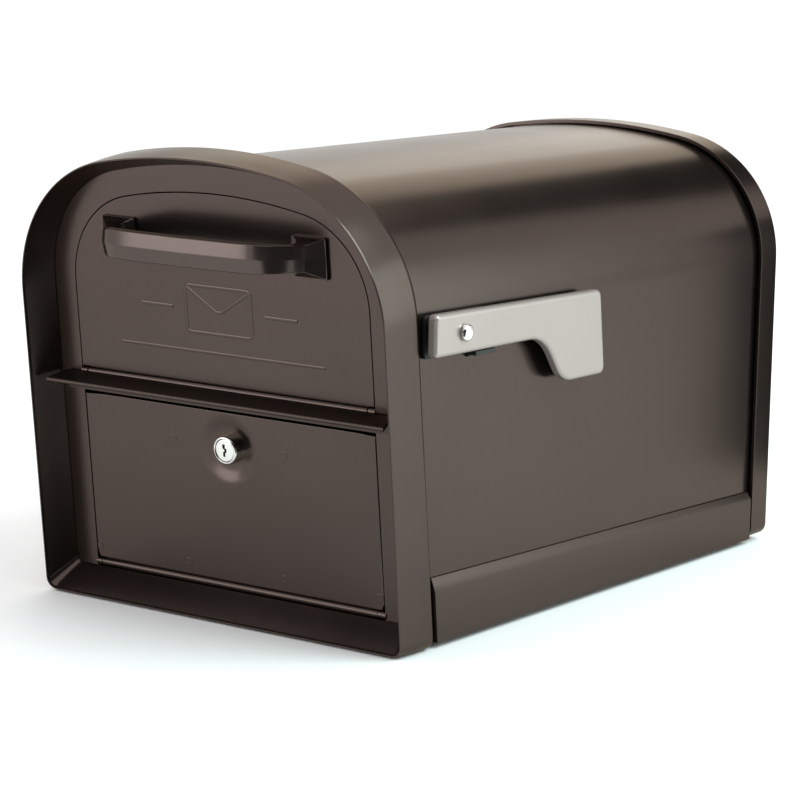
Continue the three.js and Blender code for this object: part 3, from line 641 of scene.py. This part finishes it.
def make_lower_door():
    """The sheet is skinned from the middle of its dish outwards, so that the dish flows into the flat."""
    count = 192
    on_face = face_matrix(0, LOCK_Z)
    stretch = math.hypot(1, RAKE)
    up = (LOWER_DOOR_TOP - LOCK_Z) * stretch
    down = (LOCK_Z - LOWER_DOOR_BOTTOM) * stretch

    def outline(angle, shrink):
        """Distance from the lock to the edge of the door in a direction."""
        across, above = math.cos(angle), math.sin(angle)
        limits = []
        if abs(across) > 1e-9:
            limits.append((DOOR_HALF - shrink) / abs(across))
        if above > 1e-9:
            limits.append((up - shrink) / above)
        if above < -1e-9:
            limits.append((down - shrink) / -above)
        return min(limits)

    dish = [
        (8.6, 2.6), (12, 2.6), (14, 2.4), (16, 1.95), (18, 1.35),
        (20, 0.75), (22, 0.27), (23.2, 0.07), (24.2, 0),
    ]
    front = [((lambda angle, r=r: r), depth) for r, depth in dish]
    for shrink, depth in ((0.7, 0), (0.35, 0.1), (0.1, 0.35), (0, 0.8), (0, SHEET)):
        front.append(((lambda angle, s=shrink: outline(angle, s)), depth))
    back = [((lambda angle: dish[-1][0]), SHEET)]
    back += [((lambda angle, r=r: r), depth + SHEET) for r, depth in reversed(dish[:-1])]
    mesh = bmesh.new()
    rings = [polar_ring(radius, depth, count, on_face) for radius, depth in front + back]
    add_grid(mesh, rings, wrap_rings=True)
    dress(make_object("lower_skin", mesh), "retrieval_door", powder, "bronze_paint", "lower_door")


def make_studs():
    spots = [(x, HINGE_STUD_Z, f"hinge_stud_{i + 1}") for i, x in enumerate(HINGE_STUDS)]
    spots += [(x, LOCK_STUD_Z, f"lock_stud_{i + 1}") for i, x in enumerate(LOCK_STUDS)]
    for x, z, node in spots:
        mesh = bmesh.new()
        profile = [
            (0.4, -0.12), (1.5, -0.08), (2.2, -0.2), (2.7, -0.25),
            (3, -0.12), (3.1, 0.1), (3, 4.2), (0.4, 4.2),
        ]
        add_turned(mesh, profile, 32, face_matrix(x, z))
        dress(make_object(f"{node}_head", mesh), "retrieval_door", powder, "bronze_paint", node)


# ---------- handle ----------
def make_handle():
    """One casting: two square feet that flare into a strap with a ridge along its middle."""
    path = [
        (HANDLE_FOOT_X, 0), (HANDLE_FOOT_X, -2.4), (76.6, -9), (72, -20),
        (62, -29.8), (46, -32.9), (0, -34.2),
    ]
    spine = round_corners(path, [0, 0, 3, 7, 9, 16, 0], 6, closed=False)
    spine = spine + [np.array((-x, y)) for x, y in reversed(spine[:-1])]
    length = np.cumsum([0] + [np.linalg.norm(b - a) for a, b in zip(spine, spine[1:])])
    half_way = length[-1] / 2
    rings = []
    for i, here in enumerate(spine):
        before, after = spine[max(i - 1, 0)], spine[min(i + 1, len(spine) - 1)]
        tangent = (after - before) / np.linalg.norm(after - before)
        out = np.array((-tangent[1], tangent[0]))
        if here[1] > -2.5:
            out = np.array((math.copysign(1, here[0]), 0))
        from_foot = half_way - abs(length[i] - half_way)
        rise = np.interp(from_foot, [0, 2.4, 5, 9, 16, 40], [13, 13, 10.8, 8.9, 8.4, 9.5])
        thick = np.interp(from_foot, [0, 2.4, 5, 9, 16, 40], [13, 13, 8.6, 5.2, 3.2, 2.9])
        ridge = np.interp(from_foot, [0, 2.4, 16, 40], [0, 0.2, 1.2, 1.4])
        corners = [(thick + ridge, 0), (thick, rise), (-thick, rise), (-thick, -rise), (thick, -rise)]
        section = round_corners(corners, [0.5, 1, 0.8, 0.8, 1], 3)
        level = -here[1] * RAKE
        rings.append([(here[0] + out[0] * o, here[1] + out[1] * o, z + level) for o, z in section])
    mesh = bmesh.new()
    on_face = face_matrix(0, HANDLE_Z)
    add_grid(mesh, rings, matrix=on_face)
    for side in (-1, 1):
        foot = [(-13.6, -13.6), (13.6, -13.6), (13.6, 13.6), (-13.6, 13.6)]
        plan = round_corners(foot, [1.6] * 4, 3)
        layers = [(1, -0.3), (1, -1.8), (0.985, -2.3), (0.95, -2.5)]
        x = side * HANDLE_FOOT_X
        add_grid(mesh, [[(x + u * s, y, v * s) for u, v in plan] for s, y in layers], matrix=on_face)
    dress(make_object("pull_handle", mesh, 28), "hopper", cast_paint, "cast_bronze", "handle")


# ---------- lock ----------
def make_lock():
    on_face = face_matrix(0, LOCK_Z)
    mesh = bmesh.new()
    bore, face_bore = 6.25, 7.6
    add_turned(mesh, [
        (face_bore, -3.1), (7.8, -3.5), (8.1, -3.7), (8.6, -3.65), (9.3, -3.2), (9.75, -2.4), (9.9, -1.2),
        (9.9, 3.7), (8, 3.7), (8, 15.5), (bore, 15.5), (bore, 1), (face_bore, 1),
    ], 64, on_face, hollow=True)
    dress(make_object("lock_body", mesh), "retrieval_door", chrome, "chrome", "lock_housing")

    plug_mesh, keyway = bmesh.new(), bmesh.new()
    add_turned(plug_mesh, [
        (0.02, -3.3), (6.9, -3.25), (7.3, -3.05), (face_bore - 0.15, -2.7), (face_bore - 0.15, 0.7),
        (bore - 0.1, 0.7), (bore - 0.1, 16.5), (0.02, 16.5),
    ], 64, on_face)
    outline = [
        (-1.6, 4.2), (0.5, 4.2), (0.5, 1.6), (1.7, 1), (1.7, -1), (0.5, -1.6),
        (0.5, -4.2), (-1.3, -4.2), (-1.3, -1.2), (-0.1, -0.6), (-0.1, 0.6), (-1.6, 1.4),
    ]
    add_grid(keyway, [[(x, y, z) for x, z in outline] for y in (-5, 1)], matrix=on_face)
    plug = cut(make_object("lock_face", plug_mesh), make_object("keyway", keyway))
    dress(plug, "lock_core", chrome, "chrome", "lock_plug")
    # A near-black sheet over the floor of the keyway: painted shade standing in for its dark depth.
    inside = bmesh.new()
    shrunk = [(x * 0.97, z * 0.98) for x, z in outline]
    add_grid(inside, [[(x, y, z) for x, z in shrunk] for y in (0.2, 0.9)], matrix=on_face)
    dark = make_object("keyway_shade_sheet", inside)
    dark.data.materials.append(keyway_shade_paint)
    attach(dark, "lock_core")


# ---------- flag ----------
def inset_path(points, by):
    """Moves a closed path inwards; the path runs anticlockwise."""
    moved = []
    for i, here in enumerate(points):
        before, after = here - points[i - 1], points[(i + 1) % len(points)] - here
        normals = [np.array((-v[1], v[0])) / np.linalg.norm(v) for v in (before, after)]
        middle = normals[0] + normals[1]
        middle = middle / np.linalg.norm(middle)
        moved.append(here + middle * by / max(float(np.dot(middle, normals[0])), 0.6))
    return moved


def make_flag():
    corners = [(18.5, 189.9), (142, 189.6), (166, 157), (216.9, 157), (209.4, 214.5), (18.5, 217.3)]
    path = round_corners(corners, [4.5, 17, 11, 7, 5, 4.5], 8)
    width, depth = 3.2, 2.6
    layers = [(0.8, 0), (0.2, 0.3), (0, 0.9)]
    thick = FLAG_OUTER_X - FLAG_INNER_X
    for angle in np.linspace(0, math.pi / 2, 7):
        layers.append((width * (1 - math.cos(angle)), thick - depth * (1 - math.sin(angle))))
    mesh = bmesh.new()
    rings = [[(FLAG_INNER_X + out, y, z) for y, z in inset_path(path, by)] for by, out in layers]
    add_grid(mesh, rings)
    flag = make_object("flag_arm", mesh, 40)
    hole = bmesh.new()
    at = Matrix.Translation((0, *FLAG_PIVOT))
    add_turned(hole, [(3.1, FLAG_INNER_X - 3), (3.1, FLAG_OUTER_X + 3)], 32, at, "X")
    cut(flag, make_object("pivot_hole", hole))
    dress(flag, "signal_flag", silver, "silver_paint", "flag")


def make_flag_mount():
    inner = BODY.half + 0.3
    at = Matrix.Translation((0, *FLAG_PIVOT))
    mesh = bmesh.new()
    plan = round_corners([(20.6, 188.2), (84, 188.2), (84, 215.4), (20.6, 215.4)], [3, 3, 3, 3], 4)
    add_grid(mesh, [[(x, y, z) for y, z in plan] for x in (inner, inner + 2.4)])
    add_turned(mesh, [(8, inner), (8, FLAG_INNER_X - 1), (7.3, FLAG_INNER_X - 0.3)], 48, at, "X")
    add_box(mesh, (inner, 156.5), (64, 86), (186.6, 189.4))
    rib = [(inner, 184), (inner, 188), (153, 188)]
    add_grid(mesh, [[(x, y, z) for x, z in rib] for y in (70, 73)])
    mount = bevel(make_object("flag_bracket", mesh), 0.4)
    dress(mount, "cabinet", plastic, "black_plastic", "flag_mount")

    mesh = bmesh.new()
    face = FLAG_OUTER_X + 0.3
    add_turned(mesh, [
        (2.98, BODY.half - 9), (2.98, face), (4.9, face), (5.4, face + 0.5), (5.4, face + 1.7),
        (5.1, face + 2.4), (4.4, face + 3.2), (3.6, face + 3.5), (0.02, face + 3.6),
    ], 48, at, "X")
    dress(make_object("rivet", mesh), "cabinet", chrome, "chrome", "flag_rivet")


# ---------- inner pieces and hardware ----------
def make_cheeks():
    tip = (
        TRAY_START[0] + TRAY_LENGTH * math.cos(TRAY_SLOPE),
        TRAY_START[1] - TRAY_LENGTH * math.sin(TRAY_SLOPE),
    )
    round_end = arc(0, 0, CHEEK_REACH, math.pi / 2 - 0.03, math.pi / 6, 40)
    outline = [(2.2, 6)] + round_end + [(tip[0], tip[1] + 24), (tip[0], tip[1] - 3)]
    on_hinge = face_matrix(0, HOPPER_HINGE_Z, HINGE_DEPTH)
    for name, side in (("left", -1), ("right", 1)):
        mesh = bmesh.new()
        add_grid(mesh, [[(side * x, y, z) for y, z in outline] for x in (114.7, 115.9)], matrix=on_hinge)
        dress(make_object(f"cheek_{name}", mesh), "hopper", galvanised, "galvanised", f"hopper_cheek_{name}")


def make_screw(name, node, body, matrix, shank, length):
    """A domed screw with a cross cut into its head."""
    profile = [(0.02, -length), (shank, -length + 0.6), (shank, 0), (SCREW_HEAD, 0)]
    for angle in np.linspace(0, 1.45, 8):
        profile.append((SCREW_HEAD * math.cos(angle), SCREW_RISE * (0.35 + 0.65 * math.sin(angle))))
    profile.append((0.02, SCREW_RISE))
    mesh = bmesh.new()
    add_turned(mesh, profile, 32, matrix)
    arm, width = SCREW_HEAD * 0.52, SCREW_HEAD * 0.13
    slots = []
    for u, v in ((arm, width), (width, arm)):
        slot = bmesh.new()
        add_box(slot, (-u, u), (SCREW_RISE * 0.45, SCREW_RISE + 2), (-v, v), matrix)
        slots.append(make_object("slot", slot))
    screw = cut(make_object(name, mesh), *slots)
    dress(screw, body, zinc, "zinc", node)


def make_screws():
    for i, (x, z) in enumerate(REAR_SCREWS):
        at = Matrix.Translation((x, SHELL_REAR + SHEET + 0.9, z))
        make_screw(f"rear_panel_screw_{i + 1}", f"rear_screw_{i + 1}", "cabinet", at, 1.9, 8)
    for name, side in (("left", -1), ("right", 1)):
        at = face_matrix(side * HANDLE_FOOT_X, HANDLE_Z) @ Matrix.Translation((0, SHEET + 0.3, 0))
        make_screw(f"handle_fixing_{name}", f"handle_screw_{name}", "hopper", at, 1.6, 10)


def dress_cad_nodes():
    """Every CAD node that still shows gets its slot's material and small rounded edges."""
    slot_of = {part["node"]: part["material_slot"] for part in frame["record"]["subparts"]}
    for node, made in frame["nodes"].items():
        if made.hide_render:
            continue
        made.data.materials.clear()
        made.data.materials.append(OF_SLOT[slot_of[node]])
        bevel(made, 0.25, 2, 40)


# ---------- stage ----------
WARM = (1, 0.97, 0.9)
COOL = (0.76, 1, 0.97)
CAMERA_PLACE = (1.21697, -1.73425, 0.48388)
CAMERA_AZIMUTH = 0.623
CAMERA_ELEVATION = 0.1734
CAMERA_ROLL = 0.0193
CAMERA_LENS = 136.26


def aim(made, towards, across):
    """Turns an object at its place so that it looks at a point, with its X along a direction."""
    back = (made.location - Vector(towards)).normalized()
    x_axis = (Vector(across) - back * back.dot(Vector(across))).normalized()
    y_axis = back.cross(x_axis)
    turn = Matrix((x_axis, y_axis, back)).transposed().to_4x4()
    made.matrix_world = Matrix.Translation(made.location) @ turn


def soft_box(name, place_at, towards, across, size, power, colour=(1, 1, 1)):
    light = bpy.data.lights.new(name, "AREA")
    light.shape = "RECTANGLE"
    light.size, light.size_y = size
    light.energy = power
    light.color = colour
    made = bpy.data.objects.new(name, light)
    bpy.context.scene.collection.objects.link(made)
    made.location = place_at
    aim(made, towards, across)
    made.visible_camera = False


def black_card(name, place_at, towards, across, size):
    """A dark card beside the lights, which the painted metal reflects as a dark band."""
    mesh = bmesh.new()
    bmesh.ops.create_grid(mesh, x_segments=1, y_segments=1, size=0.5)
    data = bpy.data.meshes.new(name)
    mesh.to_mesh(data)
    mesh.free()
    data.transform(Matrix.Diagonal((*size, 1, 1)))
    made = bpy.data.objects.new(name, data)
    bpy.context.scene.collection.objects.link(made)
    made.location = place_at
    aim(made, towards, across)
    made.visible_camera = False
    made.visible_shadow = False
    made.visible_diffuse = False
    material, nodes, _ = new_material(name)
    nodes["Principled BSDF"].inputs["Base Color"].default_value = (0.01, 0.01, 0.01, 1)
    nodes["Principled BSDF"].inputs["Roughness"].default_value = 1
    data.materials.append(material)
    made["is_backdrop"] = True


def make_stage():
    floor_mesh = bmesh.new()
    bmesh.ops.create_grid(floor_mesh, x_segments=1, y_segments=1, size=40)
    data = bpy.data.meshes.new("floor")
    floor_mesh.to_mesh(data)
    floor_mesh.free()
    floor = bpy.data.objects.new("floor", data)
    floor.location.z = cad_bounds[0].z - 0.0002
    bpy.context.scene.collection.objects.link(floor)
    material, nodes, _ = new_material("floor")
    nodes["Principled BSDF"].inputs["Base Color"].default_value = (0.86, 0.86, 0.86, 1)
    nodes["Principled BSDF"].inputs["Roughness"].default_value = 0.7
    floor.data.materials.append(material)
    floor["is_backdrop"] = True


def make_light():
    world = bpy.data.worlds.new("studio")
    bpy.context.scene.world = world
    world.use_nodes = True
    background = world.node_tree.nodes["Background"]
    background.inputs["Color"].default_value = (1, 1, 1, 1)
    background.inputs["Strength"].default_value = 1.15
    centre = (0, 0, 0.15)
    floor = cad_bounds[0].z
    soft_box("roof_box", (-1.05, 1.95, 1.35), centre, across=(-0.73, 0, -0.68), size=(1.3, 1.8),
             power=7.5, colour=WARM)
    soft_box("side_box", (2.3, 1.7, 0.75), centre, across=(-0.59, 0.8, 0), size=(1.6, 1.6),
             power=16, colour=COOL)
    soft_box("floor_box", (1.35, 0.2, 1.4), (0.75, 0.3, 0), across=(0, 1, 0), size=(1.2, 1.2),
             power=28, colour=COOL)
    soft_box("front_box", (-0.85, -1.5, 0.28), centre, across=(0.82, -0.57, 0), size=(0.9, 0.5),
             power=3.5)
    black_card("band_card", (0.18, 2.05, 1.3), (0.12, 0, 0.15), across=(1, 0, 0), size=(1.0, 1.1))
    black_card("rear_card", (0.19, 0.45, 0.15), (0.19, 0, 0.15), across=(1, 0, 0), size=(0.25, 0.3))
    black_card("floor_card", (0.935, -0.92, floor), (0.935, -0.92, 1), across=(1, 0, 0), size=(1.53, 1.18))
    black_card("camera_card", (1.56, -1.68, 0.95), (0, 0, 0.95), across=(0.73, 0.68, 0), size=(4.4, 2))


def make_camera():
    data = bpy.data.cameras.new("camera")
    data.lens = CAMERA_LENS
    data.sensor_width = 36
    camera = bpy.data.objects.new("camera", data)
    bpy.context.scene.collection.objects.link(camera)
    right = Vector((math.cos(CAMERA_AZIMUTH), math.sin(CAMERA_AZIMUTH), 0))
    level = Vector((math.sin(CAMERA_AZIMUTH), -math.cos(CAMERA_AZIMUTH), 0))
    back = level * math.cos(CAMERA_ELEVATION) + Vector((0, 0, math.sin(CAMERA_ELEVATION)))
    turn = Matrix((right, back.cross(right), back)).transposed().to_4x4()
    roll = Matrix.Rotation(CAMERA_ROLL, 4, "Z")
    camera.matrix_world = Matrix.Translation(CAMERA_PLACE) @ turn @ roll
    bpy.context.scene.camera = camera


def keep_sizes():
    boxes = {"cad": cad_bounds, "visual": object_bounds()}
    sizes = {name: [list(corner) for corner in box] for name, box in boxes.items()}


make_camera()
make_stage()
make_light()
make_shell()
make_base()
make_collar()
make_frame()
make_ledge()
make_rear()
make_hopper_door()
make_leaf("hopper_barrel", "hopper_hinge_leaf", "hopper", HOPPER_HINGE_Z, HINGE_HALF, height=15)
make_leaf("lower_barrel", "lower_hinge_leaf", "retrieval_door", LOWER_HINGE_Z, LEAF_OUTER_HALF, height=19)
make_lower_door()
make_studs()
make_handle()
make_lock()
make_flag()
make_flag_mount()
make_cheeks()
make_screws()
dress_cad_nodes()
bpy.context.scene.view_settings.view_transform = "Standard"
keep_sizes()
